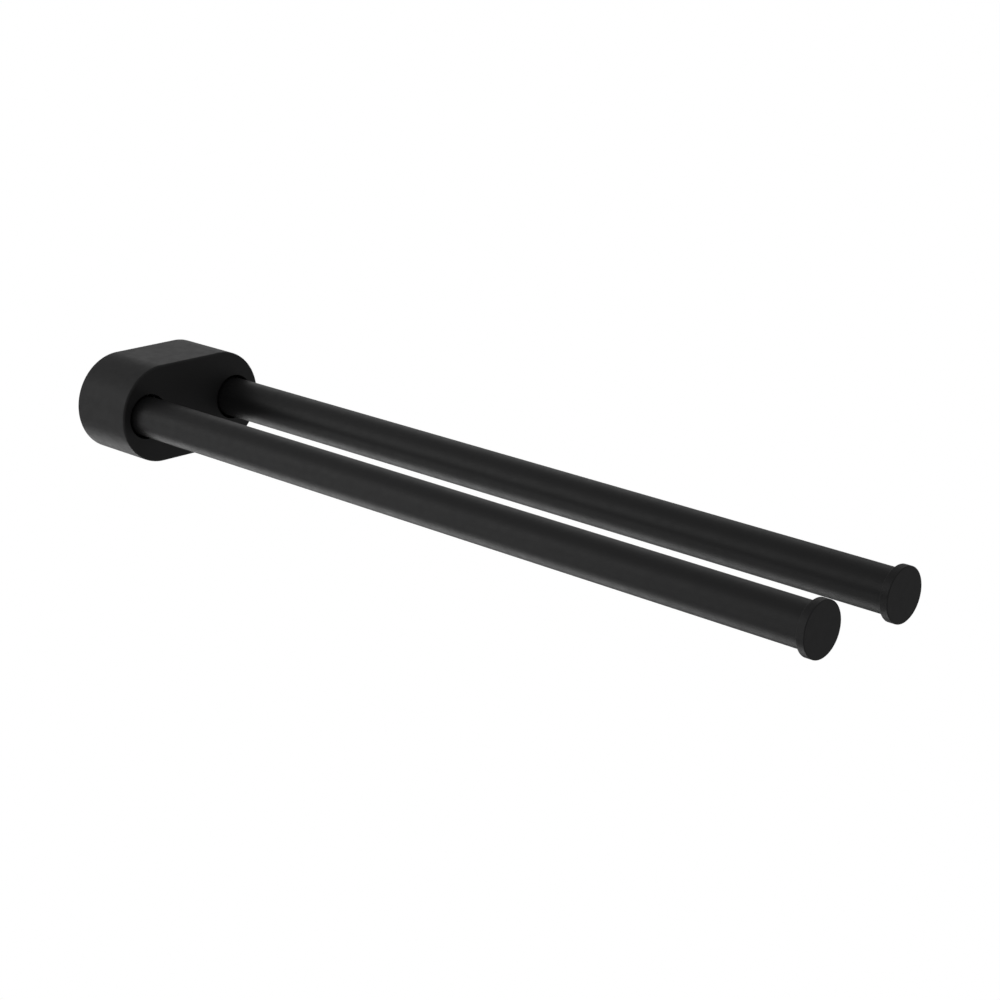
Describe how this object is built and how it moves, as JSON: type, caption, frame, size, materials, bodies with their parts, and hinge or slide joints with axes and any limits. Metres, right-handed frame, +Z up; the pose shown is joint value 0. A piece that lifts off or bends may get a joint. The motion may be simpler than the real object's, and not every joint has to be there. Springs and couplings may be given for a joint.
{
  "type": "towel rack",
  "caption": "Wall-mounted towel holder: parallel round arms stand straight out of a deep, round-ended rosette and end in small discs. Matte black.",
  "frame": {"origin": "middle of the wall face: the centre of the bracket's back, in the plane of the wall", "axes": "+Y into the wall, so the arms stand out along -Y; +X to the right of a person facing the wall; +Z up"},
  "size_m": [0.0874, 0.4774, 0.05],
  "materials": {
    "cover_coat": "fine matte black powder coat",
    "rod_coat": "satin matte black powder coat",
    "zinc_casting": "die-cast zinc, as cast",
    "plated_steel": "bright zinc plate",
    "dark_steel": "black oxide",
    "nylon": "moulded grey nylon"
  },
  "bodies": {
    "root": {"cover": "cover_coat", "carrier": "zinc_casting", "wall_bracket": "plated_steel", "rod_left": "rod_coat", "rod_right": "rod_coat", "end_cap_left": "rod_coat", "end_cap_right": "rod_coat", "root_plug_left": "plated_steel", "root_plug_right": "plated_steel", "rod_bolt_left": "plated_steel", "rod_bolt_right": "plated_steel", "lock_washer_left": "plated_steel", "lock_washer_right": "plated_steel", "grub_screw_left": "dark_steel", "grub_screw_right": "dark_steel", "cover_screw_upper": "plated_steel", "cover_screw_lower": "plated_steel", "wall_screw_upper": "plated_steel", "wall_screw_lower": "plated_steel", "wall_washer_upper": "plated_steel", "wall_washer_lower": "plated_steel", "wall_plug_upper": "nylon", "wall_plug_lower": "nylon"}
  },
  "joints": []
}
